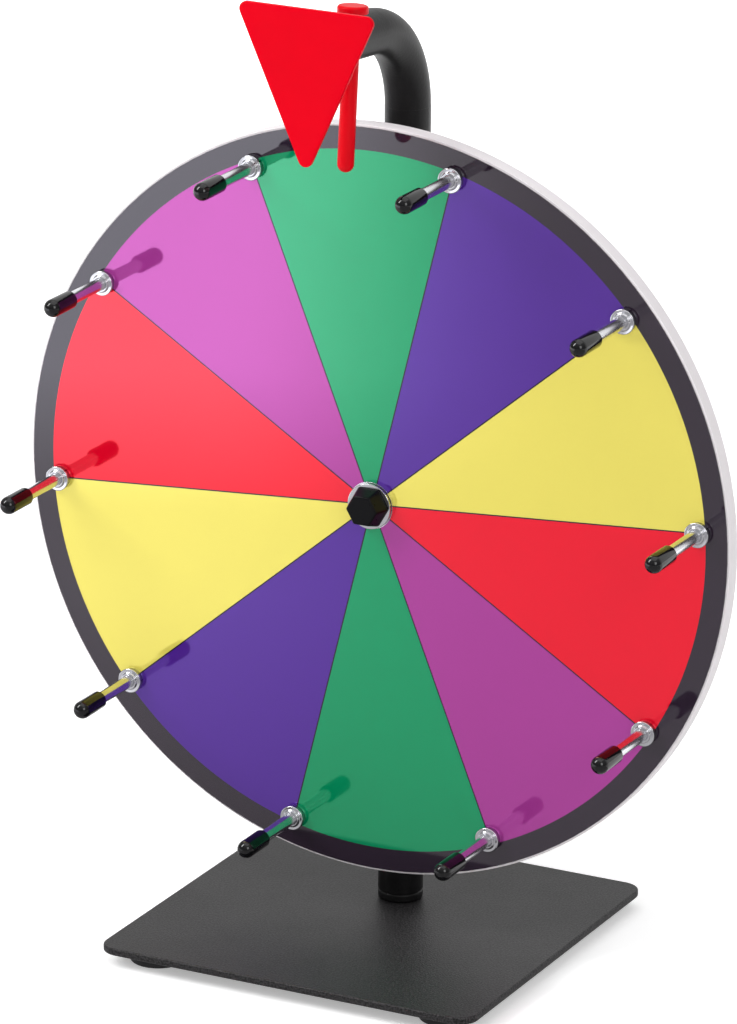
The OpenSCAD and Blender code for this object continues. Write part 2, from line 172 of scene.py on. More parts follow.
class PrizeWheelSettings(bpy.types.PropertyGroup):
    """Everything that a user would change on the wheel."""
    sizes: bpy.props.PointerProperty(name="Sizes", description="Small sizes", type=PrizeWheelSizes)
    colours: bpy.props.PointerProperty(name="Colours", description="Finishes", type=PrizeWheelColours)


def sizes():
    """The scene's sizes."""
    return bpy.context.scene.prize_wheel.sizes


def colours():
    """The scene's colours."""
    return bpy.context.scene.prize_wheel.colours


# Node trees written as expressions

class Wire:
    """A socket that takes part in Python maths by adding Math nodes."""

    def __init__(self, tree, socket):
        self.tree = tree
        self.socket = socket

    def __add__(self, other):
        return self.tree.maths("ADD", self, other)

    def __radd__(self, other):
        return self.tree.maths("ADD", other, self)

    def __sub__(self, other):
        return self.tree.maths("SUBTRACT", self, other)

    def __rsub__(self, other):
        return self.tree.maths("SUBTRACT", other, self)

    def __mul__(self, other):
        return self.tree.maths("MULTIPLY", self, other)

    def __rmul__(self, other):
        return self.tree.maths("MULTIPLY", other, self)

    def __truediv__(self, other):
        return self.tree.maths("DIVIDE", self, other)

    def __rtruediv__(self, other):
        return self.tree.maths("DIVIDE", other, self)

    def __pow__(self, other):
        return self.tree.maths("POWER", self, other)

    def fract(self):
        return self.tree.maths("FRACT", self)

    def least(self, other):
        return self.tree.maths("MINIMUM", self, other)

    def most(self, other):
        return self.tree.maths("MAXIMUM", self, other)

    def root(self):
        return self.tree.maths("SQRT", self)

    def bell(self):
        return self.tree.maths("EXPONENT", self * self * -1.0)

    def clamped(self):
        return self.least(1.0).most(0.0)


class Made:
    """A node that was added, whose outputs are read by name."""

    def __init__(self, tree, node):
        self.tree = tree
        self.node = node

    def __getitem__(self, key):
        return Wire(self.tree, find_socket(self.node.outputs, key))


def find_socket(sockets, key):
    """A live socket by its place, identifier or name."""
    if isinstance(key, int):
        return sockets[key]
    for socket in sockets:
        if socket.enabled and key in (socket.identifier, socket.name):
            return socket
    raise KeyError(key)


class Tree:
    """Adds nodes to one node tree."""

    def __init__(self, tree):
        self.tree = tree

    def add(self, kind, settings=None, inputs=None):
        """Any node: its type, its settings, then the values or links of its sockets."""
        node = self.tree.nodes.new(kind)
        for key, value in (settings or {}).items():
            setattr(node, key, value)
        for key, value in (inputs or {}).items():
            socket = find_socket(node.inputs, key)
            if isinstance(value, Made):
                value = value[0]
            if isinstance(value, Wire):
                self.tree.links.new(value.socket, socket)
            elif socket.type == "RGBA":
                socket.default_value = (*value[:3], 1.0)
            else:
                socket.default_value = value
        return Made(self, node)

    def maths(self, operation, *values):
        """One Math node."""
        return self.add("ShaderNodeMath", {"operation": operation}, dict(enumerate(values)))["Value"]

    def place(self):
        """The piece's own coordinates, in metres."""
        return self.add("ShaderNodeTexCoord")["Object"]

    def split(self, vector):
        """A node from which a vector's X, Y and Z are read."""
        return self.add("ShaderNodeSeparateXYZ", {}, {"Vector": vector})

    def stretched(self, x, y, z):
        """Object coordinates scaled along each axis."""
        return self.add("ShaderNodeMapping", {}, {"Vector": self.place(), "Scale": (x, y, z)})["Vector"]

    def noise(self, vector, scale, detail=3.0):
        """Noise from 0 to 1 about 0.5."""
        return self.add("ShaderNodeTexNoise", {}, {"Vector": vector, "Scale": scale, "Detail": detail,
                                                   "Roughness": 0.55})["Fac"]

    def between(self, mask, first, second):
        """A colour that goes from first to second with the mask."""
        return self.add("ShaderNodeMix", {"data_type": "RGBA"},
                        {"Factor": mask, "A": first, "B": second})["Result"]

    def bump(self, height, distance, strength):
        """A bumped normal."""
        return self.add("ShaderNodeBump", {}, {"Height": height, "Distance": distance,
                                               "Strength": strength})["Normal"]

    def surface(self, **sockets):
        """A Principled surface, joined to the material's output."""
        names = {key.replace("_", " "): value for key, value in sockets.items()}
        shader = self.add("ShaderNodeBsdfPrincipled", {}, names)
        self.add("ShaderNodeOutputMaterial", {}, {"Surface": shader})


def shade(colour, factor):
    """A colour made lighter or darker."""
    return tuple(min(1.0, channel * factor) for channel in colour[:3])


def finish(name, build):
    """The material of that name, built once, beside the plain one that came with the frame."""
    label = name + "_finish"
    material = bpy.data.materials.get(label)
    if material is None:
        material = bpy.data.materials.new(label)
        material.use_nodes = True
        material.node_tree.nodes.clear()
        build(Tree(material.node_tree))
    return material


# Finishes

def mottled(name, colour, dark, light, rough, fine=None, detail=3.0, fine_rough=0.0, broad=None,
            broad_rough=0.0, contrast=None, depth=0.0, strength=0.0, stretch=(1.0, 1.0, 1.0), **constants):
    """A finish with noise at a fine and a broad scale, either of which may be left out.

    The colour goes from dark to light with the broad noise, or with the fine one where a contrast
    is given or no broad scale is. Each noise adds its share to the roughness, and the fine one makes
    a bump of that depth and strength. The constants go to other sockets.
    """
    def build(t):
        sockets = dict(constants)
        level = rough
        mask = None
        if broad:
            mask = t.noise(t.stretched(*stretch), broad)
            level = level + mask * broad_rough
        if fine:
            grain = t.noise(t.place(), fine, detail)
            level = level + grain * fine_rough
            sockets["Normal"] = t.bump(grain, depth, strength)
            if contrast:
                mask = ((grain - 0.5) * contrast + 0.5).clamped()
            elif not broad:
                mask = grain
        t.surface(Base_Color=t.between(mask, shade(colour, dark), shade(colour, light)),
                  Roughness=level, **sockets)
    return finish(name, build)


def powder_coat():
    """Satin black powder coat with a fine grain."""
    return mottled("powder_coat", colours().powder, dark=0.2, light=2.4, contrast=4.0, rough=0.32,
                   fine=1300.0, detail=2.0, fine_rough=0.2, broad=60.0, broad_rough=0.08,
                   depth=0.26 * MM, strength=0.7, Specular_IOR_Level=0.25)


def post_coat():
    """The same coat on the tube, painted darker than on the base plate as painted shade, smoother over the
    bend.
    """
    return mottled("post_coat", colours().powder, dark=0.15, light=0.5, contrast=1.0, rough=0.3,
                   fine=900.0, detail=2.0, fine_rough=0.12, broad=70.0, broad_rough=0.08,
                   depth=0.16 * MM, strength=0.4, Specular_IOR_Level=0.22)


def foot_rubber():
    """Matt black rubber."""
    return mottled("foot_rubber", colours().rubber, dark=0.7, light=1.4, rough=0.62,
                   fine=700.0, fine_rough=0.2, depth=0.1 * MM, strength=0.4)


def red_plastic():
    """Glossy moulded red."""
    return mottled("red_plastic", colours().pointer, dark=0.94, light=1.04, rough=0.14,
                   fine=420.0, fine_rough=0.06, broad=45.0, broad_rough=0.1,
                   depth=0.015 * MM, strength=0.3, Specular_IOR_Level=0.03)


def red_rubber():
    """Smooth red rubber."""
    return mottled("red_rubber", colours().clicker, dark=0.9, light=1.06, rough=0.26,
                   fine=800.0, fine_rough=0.08, broad=90.0, broad_rough=0.12,
                   depth=0.03 * MM, strength=0.35, Specular_IOR_Level=0.08)


def cap_vinyl():
    """Gloss black dipped vinyl."""
    return mottled("cap_vinyl", colours().vinyl, dark=0.7, light=1.3, rough=0.05,
                   fine=500.0, detail=2.0, broad=120.0, broad_rough=0.08,
                   depth=0.012 * MM, strength=0.3, Specular_IOR_Level=0.38)


def black_plastic():
    """Gloss black moulded plastic."""
    return mottled("black_plastic", colours().plastic, dark=0.8, light=1.2, rough=0.24,
                   fine=600.0, fine_rough=0.1, depth=0.015 * MM, strength=0.3, Specular_IOR_Level=0.1)


def chrome():
    """Bright polished metal, a little uneven."""
    return mottled("chrome", colours().chrome, dark=0.98, light=1.12, rough=0.2,
                   broad=150.0, broad_rough=0.08, Metallic=1.0)


def collar_plate():
    """Plated metal of the peg collars: the rods' chrome painted darker, a painted shade, and glossier than
    the rods.
    """
    return mottled("collar_plate", colours().chrome, dark=0.66, light=0.82, rough=0.12,
                   broad=120.0, broad_rough=0.08, Metallic=1.0)


def hub_plate():
    """Polished metal of the hub's washer, which mirrors the cap on it; its chrome is painted darker, a
    painted shade.
    """
    return mottled("hub_plate", colours().chrome, dark=0.58, light=0.74, rough=0.03,
                   broad=160.0, broad_rough=0.05, stretch=(1.0, 1.0, 8.0), Metallic=1.0)


def steel():
    """Zinc-plated steel."""
    return mottled("steel", colours().steel, dark=0.86, light=1.06, rough=0.2,
                   fine=900.0, fine_rough=0.06, broad=200.0, broad_rough=0.14,
                   depth=0.02 * MM, strength=0.3, Metallic=1.0)


def foam_board():
    """White board whose cut edge shows fine pores and faint layers."""
    pore_scale = 1300.0
    layer_scales = (20.0, 1500.0, 20.0)
    dark, light = 0.93, 1.04
    rough, pore_rough = 0.5, 0.15
    depth, strength = 0.05 * MM, 0.3

    def build(t):
        colour = colours().board
        pores = t.noise(t.place(), pore_scale, detail=2.0)
        layers = t.noise(t.stretched(*layer_scales), scale=1.0, detail=2.0)
        t.surface(
            Base_Color=t.between(pores * 0.5 + layers * 0.5, shade(colour, dark), shade(colour, light)),
            Roughness=rough + pores * pore_rough,
            Normal=t.bump(pores + layers, depth, strength),
        )
    return finish("foam_board", build)


def print_sheet():
    """Glossy print: five colours twice round, thin lines between them and a dark ring."""
    core_share = 0.35
    line_core = sizes().line_width * core_share
    line_blur = 0.2 * MM
    ring_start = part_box("face_sheet")[1].x - sizes().ring_width
    ring_blur = 0.15 * MM
    grain_scale, drift_scale = 1800.0, 18.0
    cloud_dark, cloud_light = (0.93, 0.93, 0.93), (1.0, 1.0, 1.0)
    metal_share = 0.3
    rough, drift_rough = 0.04, 0.03
    depth, strength = 0.25 * MM, 0.15

    def build(t):
        tints = colours()
        hues = [tint[:3] for tint in (tints.green, tints.violet, tints.yellow, tints.red, tints.magenta)]
        axle = axle_middle()
        first = middle("peg_pin_1")
        start = math.atan2(first.x - axle.x, first.z - axle.z)
        pegs = len(PEGS)
        spot = t.split(t.place())
        x = spot["X"] - axle.x
        z = spot["Z"] - axle.z
        radius = (x * x + z * z).root()
        turn = (t.maths("ARCTAN2", x, z) - start) / math.tau + 1.0
        sector = (turn * (pegs / len(hues))).fract() * float(len(hues))
        hue = hues[0]
        for place, tint in enumerate(hues[1:], 1):
            hue = t.between(t.maths("GREATER_THAN", sector, float(place)), hue, tint)
        share = (turn * pegs).fract()
        off_line = share.least(1.0 - share) * radius * (math.tau / pegs)
        line = 1.0 - ((off_line - line_core) / line_blur).clamped()
        ring = ((radius - ring_start) / ring_blur).clamped()
        grain = t.noise(t.place(), grain_scale, detail=2.0)
        drift = t.noise(t.place(), drift_scale, detail=2.0)
        inked = t.between(line, hue, tints.line[:3])
        ringed = t.between(ring, inked, tints.ring[:3])
        clouds = t.between(grain * 0.6 + drift * 0.4, cloud_dark, cloud_light)
        clouded = t.add("ShaderNodeMix", {"data_type": "RGBA", "blend_type": "MULTIPLY"},
                        {"Factor": 1.0, "A": ringed, "B": clouds})
        t.surface(
            Base_Color=clouded["Result"],
            Metallic=(1.0 - ring) * metal_share,
            Roughness=rough + drift * drift_rough,
            Specular_IOR_Level=0.75,
            Normal=t.bump(drift, depth, strength),
        )
    return finish("print_sheet", build)


# Meshes

def quarter(steps):
    """Angles in equal steps over a quarter turn."""
    return [math.pi / 2 * k / steps for k in range(steps + 1)]


def arc_corner(before, corner, after, radius, steps):
    """The points that round one corner of an outline."""
    back = (before - corner).normalized()
    ahead = (after - corner).normalized()
    half = back.angle(ahead) / 2
    reach = radius / math.tan(half)
    centre = corner + (back + ahead).normalized() * (radius / math.sin(half))
    first = corner + back * reach - centre
    last = corner + ahead * reach - centre
    sweep = first.angle_signed(last)
    return [centre + Matrix.Rotation(-sweep * i / steps, 2) @ first for i in range(steps + 1)]


def outline(corners, steps=5):
    """A closed outline from (u, v, rounding) corners."""
    points = []
    flat = [Vector(corner[:2]) for corner in corners]
    for i, corner in enumerate(corners):
        if corner[2] > 0:
            points += arc_corner(flat[i - 1], flat[i], flat[(i + 1) % len(flat)], corner[2], steps)
        else:
            points.append(flat[i])
    return points


def mesh_of(verts, faces, sharp=SHARP_ANGLE):
    """A clean mesh with outward faces, smooth up to that angle in degrees."""
    weld = 1e-7
    mesh = bpy.data.meshes.new("piece")
    mesh.from_pydata(verts, [], faces)
    work = bmesh.new()
    work.from_mesh(mesh)
    bmesh.ops.remove_doubles(work, verts=work.verts, dist=weld)
    bmesh.ops.recalc_face_normals(work, faces=work.faces)
    work.to_mesh(mesh)
    work.free()
    mesh.shade_smooth()
    mesh.set_sharp_from_angle(angle=math.radians(sharp))
    flatten(mesh)
    return mesh


def flatten(mesh, area=math.inf):
    """Flat shading on broad faces: those with more than four corners, or above an area."""
    for face in mesh.polygons:
        if len(face.vertices) > 4 or face.area > area:
            face.use_smooth = False


def turned(profile, steps=64, sharp=SHARP_ANGLE):
    """A closed (radius, height) profile turned about Z, flat where it is square to Z."""
    on_axis = 1e-9
    square_on = 0.9999
    verts = []
    faces = []
    count = len(profile)
    for i in range(steps):
        angle = math.tau * i / steps
        for radius, height in profile:
            verts.append((radius * math.cos(angle), radius * math.sin(angle), height))
    for i in range(steps):
        here = i * count
        there = (i + 1) % steps * count
        for k in range(count):
            n = (k + 1) % count
            if profile[k][0] < on_axis and profile[n][0] < on_axis:
                continue
            faces.append((here + k, there + k, there + n, here + n))
    mesh = mesh_of(verts, faces, sharp)
    for face in mesh.polygons:
        if abs(face.normal.z) > square_on:
            face.use_smooth = False
    return mesh


def rings_mesh(rows, closed=False):
    """Rings of equal count joined in order, the last to the first if closed, or else with filled ends."""
    count = len(rows[0])
    verts = [vert for row in rows for vert in row]
    faces = []
    for k in range(len(rows) if closed else len(rows) - 1):
        low = k * count
        high = (k + 1) % len(rows) * count
        for i in range(count):
            n = (i + 1) % count
            faces.append((low + i, low + n, high + n, high + i))
    if not closed:
        faces.append(tuple(range(count)))
        faces.append(tuple(range((len(rows) - 1) * count, len(rows) * count)))
    return mesh_of(verts, faces)


def washer(inner, outer, low, high, edge, steps):
    """A flat ring with rounded edges."""
    profile = outline([(inner, low, edge), (outer, low, edge), (outer, high, edge), (inner, high, edge)],
                      steps=4)
    return turned(profile, steps)


def split_washer(inner, outer, low, high, gap, rise):
    """A spring lock washer, cut across and sprung a little apart."""
    edge = 0.1 * MM
    steps = 60
    rows = []
    corners = outline([(inner, low, edge), (outer, low, edge), (outer, high, edge), (inner, high, edge)],
                      steps=2)
    for i in range(steps + 1):
        share = i / steps
        angle = gap / 2 + (math.tau - gap) * share
        lift = rise * (share - 0.5)
        rows.append([(p.x * math.cos(angle), p.x * math.sin(angle), p.y + lift) for p in corners])
    return rings_mesh(rows)


def nut(inner, flats, low, high, steps, collar=None):
    """A hexagon nut with chamfered corners, which may end in a round collar of (radius, height)."""
    rim_share = 0.485
    bevel_share = 0.3
    chamfer_slope = math.tan(math.radians(30))
    rim = flats * rim_share
    top = high
    crown = []
    if collar:
        collar_radius, collar_tall = collar
        top = high - collar_tall
        bevel = collar_tall * bevel_share
        crown = [(collar_radius, top), (collar_radius, high - bevel), (collar_radius - bevel, high)]
    spokes = []
    for i in range(steps):
        angle = math.tau * i / steps
        off_flat = (angle + SIXTH / 2) % SIXTH - SIXTH / 2
        reach = flats / 2 / math.cos(off_flat)
        drop = (reach - rim) * chamfer_slope
        levels = [(inner, low), (rim, low), (reach, low + drop), (reach, top - drop), (rim, top), *crown,
                  (inner, high)]
        spokes.append([(radius * math.cos(angle), radius * math.sin(angle), height)
                       for radius, height in levels])
    return rings_mesh(list(zip(*spokes)), closed=True)


def plate(centres, radius, low, high, edge):
    """A flat plate whose outline rounds those corner centres, with rounded edges."""
    corner_steps = 10
    edge_steps = 5
    flat = [Vector(centre) for centre in centres]
    spokes = []
    for i, centre in enumerate(flat):
        into = centre - flat[i - 1]
        away = flat[(i + 1) % len(flat)] - centre
        first = math.atan2(-into.x, into.y)
        last = math.atan2(-away.x, away.y)
        turn = (last - first + math.pi) % math.tau - math.pi
        spokes += [(centre, first + turn * k / corner_steps) for k in range(corner_steps + 1)]
    doubled_area = sum(a.x * b.y - a.y * b.x for a, b in zip(flat, flat[1:] + flat[:1]))
    sign = 1.0 if doubled_area > 0 else -1.0
    levels = [(edge * (1 - math.sin(a)), low + edge * (1 - math.cos(a))) for a in quarter(edge_steps)]
    levels += [(inset, low + high - height) for inset, height in reversed(levels)]
    rings = []
    for inset, height in levels:
        reach = sign * (radius - inset)
        rings.append([(c.x + reach * math.cos(a), c.y + reach * math.sin(a), height) for c, a in spokes])
    return rings_mesh(rings)


# Geometry node trees

def node_group(name, sockets):
    """An empty geometry tree with a geometry in and out, and these named inputs."""
    group = bpy.data.node_groups.new(name, "GeometryNodeTree")
    group.interface.new_socket("Geometry", in_out="OUTPUT", socket_type="NodeSocketGeometry")
    group.interface.new_socket("Geometry", in_out="INPUT", socket_type="NodeSocketGeometry")
    for label, kind in sockets:
        group.interface.new_socket(label, in_out="INPUT", socket_type="NodeSocket" + kind)
    return group


def about_z(t, angle):
    """A rotation about Z."""
    euler = t.add("ShaderNodeCombineXYZ", {}, {"Z": angle})
    return t.add("FunctionNodeEulerToRotation", {}, {"Euler": euler})


def end_tree(t, geometry, material):
    """Ends a geometry tree with real, painted geometry."""
    real = t.add("GeometryNodeRealizeInstances", {}, {"Geometry": geometry})
    painted = t.add("GeometryNodeSetMaterial", {}, {"Geometry": real, "Material": material})
    t.add("NodeGroupOutput", {}, {"Geometry": painted})


def ring_tree():
    """Copies of one part set round a circle, each turned about its own axis by a random amount."""
    group = bpy.data.node_groups.get("Ring of parts")
    if group:
        return group
    group = node_group("Ring of parts", [("Count", "Int"), ("Radius", "Float"), ("First angle", "Float"),
                                         ("Spin", "Float"), ("Seed", "Int"), ("Finish", "Material")])
    t = Tree(group)
    given = t.add("NodeGroupInput")
    circle = t.add("GeometryNodeMeshCircle", {}, {"Vertices": given["Count"], "Radius": given["Radius"]})
    points = t.add("GeometryNodeTransform", {}, {
        "Geometry": circle, "Rotation": about_z(t, given["First angle"])})
    random = t.add("FunctionNodeRandomValue", {"data_type": "FLOAT"},
                   {"Min": 0.0, "Max": given["Spin"], "Seed": given["Seed"]})
    copies = t.add("GeometryNodeInstanceOnPoints", {}, {
        "Points": points, "Instance": given["Geometry"], "Rotation": about_z(t, random["Value"])})
    end_tree(t, copies, given["Finish"])
    return group


def thread_tree():
    """A ridge that winds round a rod along Z, joined to the rod."""
    group = bpy.data.node_groups.get("Thread")
    if group:
        return group
    group = node_group("Thread", [("Radius", "Float"), ("Pitch", "Float"), ("Start", "Float"),
                                  ("Length", "Float"), ("Depth", "Float"), ("Finish", "Material")])
    turn_points = 28
    ridge_sides = 6
    t = Tree(group)
    given = t.add("NodeGroupInput")
    spiral = t.add("GeometryNodeCurveSpiral", {}, {
        "Resolution": turn_points, "Rotations": given["Length"] / given["Pitch"],
        "Start Radius": given["Radius"], "End Radius": given["Radius"], "Height": given["Length"]})
    ridge = t.add("GeometryNodeCurvePrimitiveCircle", {}, {
        "Resolution": ridge_sides, "Radius": given["Depth"]})
    wound = t.add("GeometryNodeCurveToMesh", {}, {
        "Curve": spiral, "Profile Curve": ridge, "Fill Caps": True})
    start = t.add("ShaderNodeCombineXYZ", {}, {"Z": given["Start"]})
    lifted = t.add("GeometryNodeTransform", {}, {"Geometry": wound, "Translation": start})
    both = t.add("GeometryNodeJoinGeometry", {}, {"Geometry": lifted})
    t.tree.links.new(given["Geometry"].socket, both.node.inputs["Geometry"])
    end_tree(t, both, given["Finish"])
    return group


def grown(mesh, group, values):
    """The mesh that a geometry tree makes from a starting mesh."""
    carrier = bpy.data.objects.new("carrier", mesh)
    bpy.context.scene.collection.objects.link(carrier)
    modifier = carrier.modifiers.new("grow", "NODES")
    modifier.node_group = group
    for item in group.interface.items_tree:
        if item.in_out == "INPUT" and item.name in values:
            modifier[item.identifier] = values[item.name]
    ready = carrier.evaluated_get(bpy.context.evaluated_depsgraph_get())
    result = bpy.data.meshes.new_from_object(ready)
    carrier.modifiers.remove(modifier)
    bpy.data.objects.remove(carrier)
    if not result.polygons:
        raise RuntimeError("the tree " + group.name + " made nothing")
    return result


# Pieces on the frame

def along_axle(depth=0.0):
    """Turns local Z to the axle's direction, towards the back."""
    axle = axle_middle()
    return Matrix.Translation((axle.x, depth, axle.z)) @ Matrix.Rotation(-math.pi / 2, 4, "X")


def settle(name, mesh, matrix, material, body, slot, *nodes):
    """A finished piece: its place goes into the mesh, it rides on a body and stands for CAD nodes."""
    mesh.transform(matrix)
    mesh.name = name
    if material.name not in [m.name for m in mesh.materials if m]:
        mesh.materials.clear()
        mesh.materials.append(material)
    piece = bpy.data.objects.new(name, mesh)
    bpy.context.scene.collection.objects.link(piece)
    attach(piece, body)
    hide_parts(*nodes)


def settle_ring(name, part, material, slot, *nodes, spin=0.0, seed=0):
    """One part copied to every peg's place, as one piece that rides on the wheel."""
    axle = axle_middle()
    first = middle("peg_pin_1")
    ring = grown(part, ring_tree(), {
        "Count": len(PEGS),
        "Radius": math.hypot(first.x - axle.x, first.z - axle.z),
        "First angle": math.atan2(-(first.z - axle.z), first.x - axle.x),
        "Spin": spin,
        "Seed": seed,
        "Finish": material,
    })
    settle(name, ring, along_axle(), material, "wheel", slot, *nodes)


def paint(material, *nodes):
    """A better finish on CAD nodes that keep their shape."""
    for node in nodes:
        for slot in frame["nodes"][node].material_slots:
            slot.material = material


class PRIZEWHEEL_OT_base(bpy.types.Operator):
    """Make the base plate with its rounded corners and edges"""
    bl_idname = "prize_wheel.base"
    bl_label = "Base plate"

    def execute(self, context):
        low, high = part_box("base_plate")
        corner = 8.0 * MM
        centres = [(low.x + corner, low.y + corner), (high.x - corner, low.y + corner),
                   (high.x - corner, high.y - corner), (low.x + corner, high.y - corner)]
        mesh = plate(centres, corner, low.z, high.z, sizes().plate_edge)
        settle("base_plate_coated", mesh, Matrix(), powder_coat(), "stand", "powder_coat", "base_plate")
        paint(steel(), "base_screw")
        return {"FINISHED"}


class PRIZEWHEEL_OT_feet(bpy.types.Operator):
    """Make the four rubber feet"""
    bl_idname = "prize_wheel.feet"
    bl_label = "Feet"

    def execute(self, context):
        taper = 0.93
        top_edge = 0.2 * MM
        for name in ("foot_front_left", "foot_front_right", "foot_back_left", "foot_back_right"):
            low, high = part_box(name)
            centre = middle(name)
            radius = half_width(name)
            tall = high.z - low.z
            profile = outline([(0.0, 0.0, 0.0), (radius * taper, 0.0, sizes().foot_edge),
                               (radius, tall, top_edge), (0.0, tall, 0.0)])
            settle(name + "_rubber", turned(profile), Matrix.Translation((centre.x, centre.y, low.z)),
                   foot_rubber(), "stand", "foot_rubber", name)
        return {"FINISHED"}


class PRIZEWHEEL_OT_post(bpy.types.Operator):
    """Finish the bent post and the collar at its foot"""
    bl_idname = "prize_wheel.post"
    bl_label = "Post"

    def execute(self, context):
        # The tube's coat is the powder colour painted darker, a painted shade.
        paint(post_coat(), "post_tube", "post_plug")
        return {"FINISHED"}


class PRIZEWHEEL_OT_pointer(bpy.types.Operator):
    """Make the red pointer with rounded corners and edges"""
    bl_idname = "prize_wheel.pointer"
    bl_label = "Pointer"

    def execute(self, context):
        low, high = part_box("pointer")
        corner = 3.0 * MM
        thick = 2.0 * MM
        centres = [(low.x + corner, high.z - corner), (high.x - corner, high.z - corner),
                   (middle("pointer").x, low.z + corner)]
        mesh = plate(centres, corner, 0.0, thick, sizes().pointer_edge)
        upright = Matrix.Translation((0, low.y + thick, 0)) @ Matrix.Rotation(math.pi / 2, 4, "X")
        settle("pointer_moulded", mesh, upright, red_plastic(), "stand", "red_plastic", "pointer")
        return {"FINISHED"}


class PRIZEWHEEL_OT_clicker(bpy.types.Operator):
    """Make the rubber clicker in one length, set at its hinge below the tube"""
    bl_idname = "prize_wheel.clicker"
    bl_label = "Clicker"

    def execute(self, context):
        hinge = next(j for j in frame["joints"] if j["name"] == "clicker_flex")
        swing = Vector(hinge["axis"]).normalized()
        down = Vector((1, 0, 0)).cross(swing).normalized()
        if down.z > 0:
            down = -down
        up = -down
        pivot = Vector(hinge["pos_m"])
        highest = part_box("clicker_stem")[1].z
        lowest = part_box("clicker_finger")[0].z
        head = 6.0 * MM
        head_tall = 3.2 * MM
        under_edge = 0.5 * MM
        rod = 3.25 * MM
        crown = (highest - pivot.z - head * math.sqrt(1 - up.z ** 2)) / up.z
        tip = (lowest - pivot.z + rod * (1 - up.z)) / up.z
        seat = crown - head_tall
        start = tip + rod
        rod_steps = 60
        tip_steps = 8
        profile = outline([(0.0, crown, 0.0), (head, crown, sizes().head_edge),
                           (head, seat, under_edge), (rod, seat, 0.0)], steps=8)
        profile += [Vector((rod, seat + (start - seat) * k / rod_steps)) for k in range(1, rod_steps)]
        profile += [Vector((rod * math.cos(a), start - rod * math.sin(a))) for a in quarter(tip_steps)]
        profile[-1] = Vector((0.0, tip))
        mesh = turned(profile, steps=48)
        rod_axes = Matrix((swing.cross(up), swing, up)).transposed()
        mesh.transform(Matrix.Translation(pivot) @ rod_axes.to_4x4())
        mesh.materials.append(red_rubber())
        piece = bpy.data.objects.new("clicker_rubber", mesh)
        context.scene.collection.objects.link(piece)
        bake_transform(piece)
        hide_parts("clicker_stem", "clicker_finger")
        return {"FINISHED"}


class PRIZEWHEEL_OT_board(bpy.types.Operator):
    """Make the white board of the disc"""
    bl_idname = "prize_wheel.board"
    bl_label = "Board"

    def execute(self, context):
        low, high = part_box("wheel_board")
        axle = axle_middle()
        radius = min(high.x - axle.x, axle.x - low.x)
        thick = high.y - low.y
        bore = 6.0 * MM
        edge = sizes().board_edge
        profile = outline([(bore, 0.0, 0.0), (radius, 0.0, edge), (radius, thick, edge), (bore, thick, 0.0)])
        settle("board_white", turned(profile, steps=256), along_axle(low.y), foam_board(), "wheel",
               "foam_board", "wheel_board")
        return {"FINISHED"}


class PRIZEWHEEL_OT_print(bpy.types.Operator):
    """Finish the printed face"""
    bl_idname = "prize_wheel.print"
    bl_label = "Print"

    def execute(self, context):
        paint(print_sheet(), "face_sheet")
        return {"FINISHED"}


class PRIZEWHEEL_OT_pegs(bpy.types.Operator):
    """Make the ten bright pegs with their threaded ends"""
    bl_idname = "prize_wheel.pegs"
    bl_label = "Pegs"

    def execute(self, context):
        front, back = depth_of("peg_pin_1")
        radius = half_width("peg_pin_1")
        chamfer = 0.4 * MM
        size = sizes()
        run = back - depth_of("peg_nuts")[0]
        start = back - run
        core = radius - size.thread_depth
        rod = turned([(0.0, front), (radius - chamfer, front), (radius, front + chamfer), (radius, start),
                      (core, start), (core, back - chamfer), (core - chamfer, back), (0.0, back)], steps=48)
        threaded = grown(rod, thread_tree(), {
            "Radius": core,
            "Pitch": size.thread_pitch,
            "Start": start,
            "Length": run - chamfer,
            "Depth": size.thread_depth,
            "Finish": chrome(),
        })
        settle_ring("peg_rods", threaded, chrome(), "chrome", *[f"peg_pin_{k}" for k in PEGS])
        return {"FINISHED"}


class PRIZEWHEEL_OT_caps(bpy.types.Operator):
    """Make the ten round-ended caps"""
    bl_idname = "prize_wheel.caps"
    bl_label = "Peg caps"

    def execute(self, context):
        front, back = depth_of("peg_cap_1")
        radius = half_width("peg_cap_1")
        slip = 0.02 * MM
        end_thick = 2.2 * MM
        dome_steps = 14
        bore = half_width("peg_pin_1") + slip
        bore_end = front + end_thick
        edge = sizes().cap_edge
        dome = [Vector((radius * math.sin(a), front + radius * (1 - math.cos(a))))
                for a in quarter(dome_steps)]
        mouth = outline([(radius, front + radius, 0.0), (radius, back, edge), (bore, back, edge),
                         (bore, bore_end, 0.0), (0.0, bore_end, 0.0)])
        cap = turned(dome + mouth[1:], steps=48, sharp=50.0)
        settle_ring("peg_caps", cap, cap_vinyl(), "cap_vinyl", *[f"peg_cap_{k}" for k in PEGS])
        return {"FINISHED"}


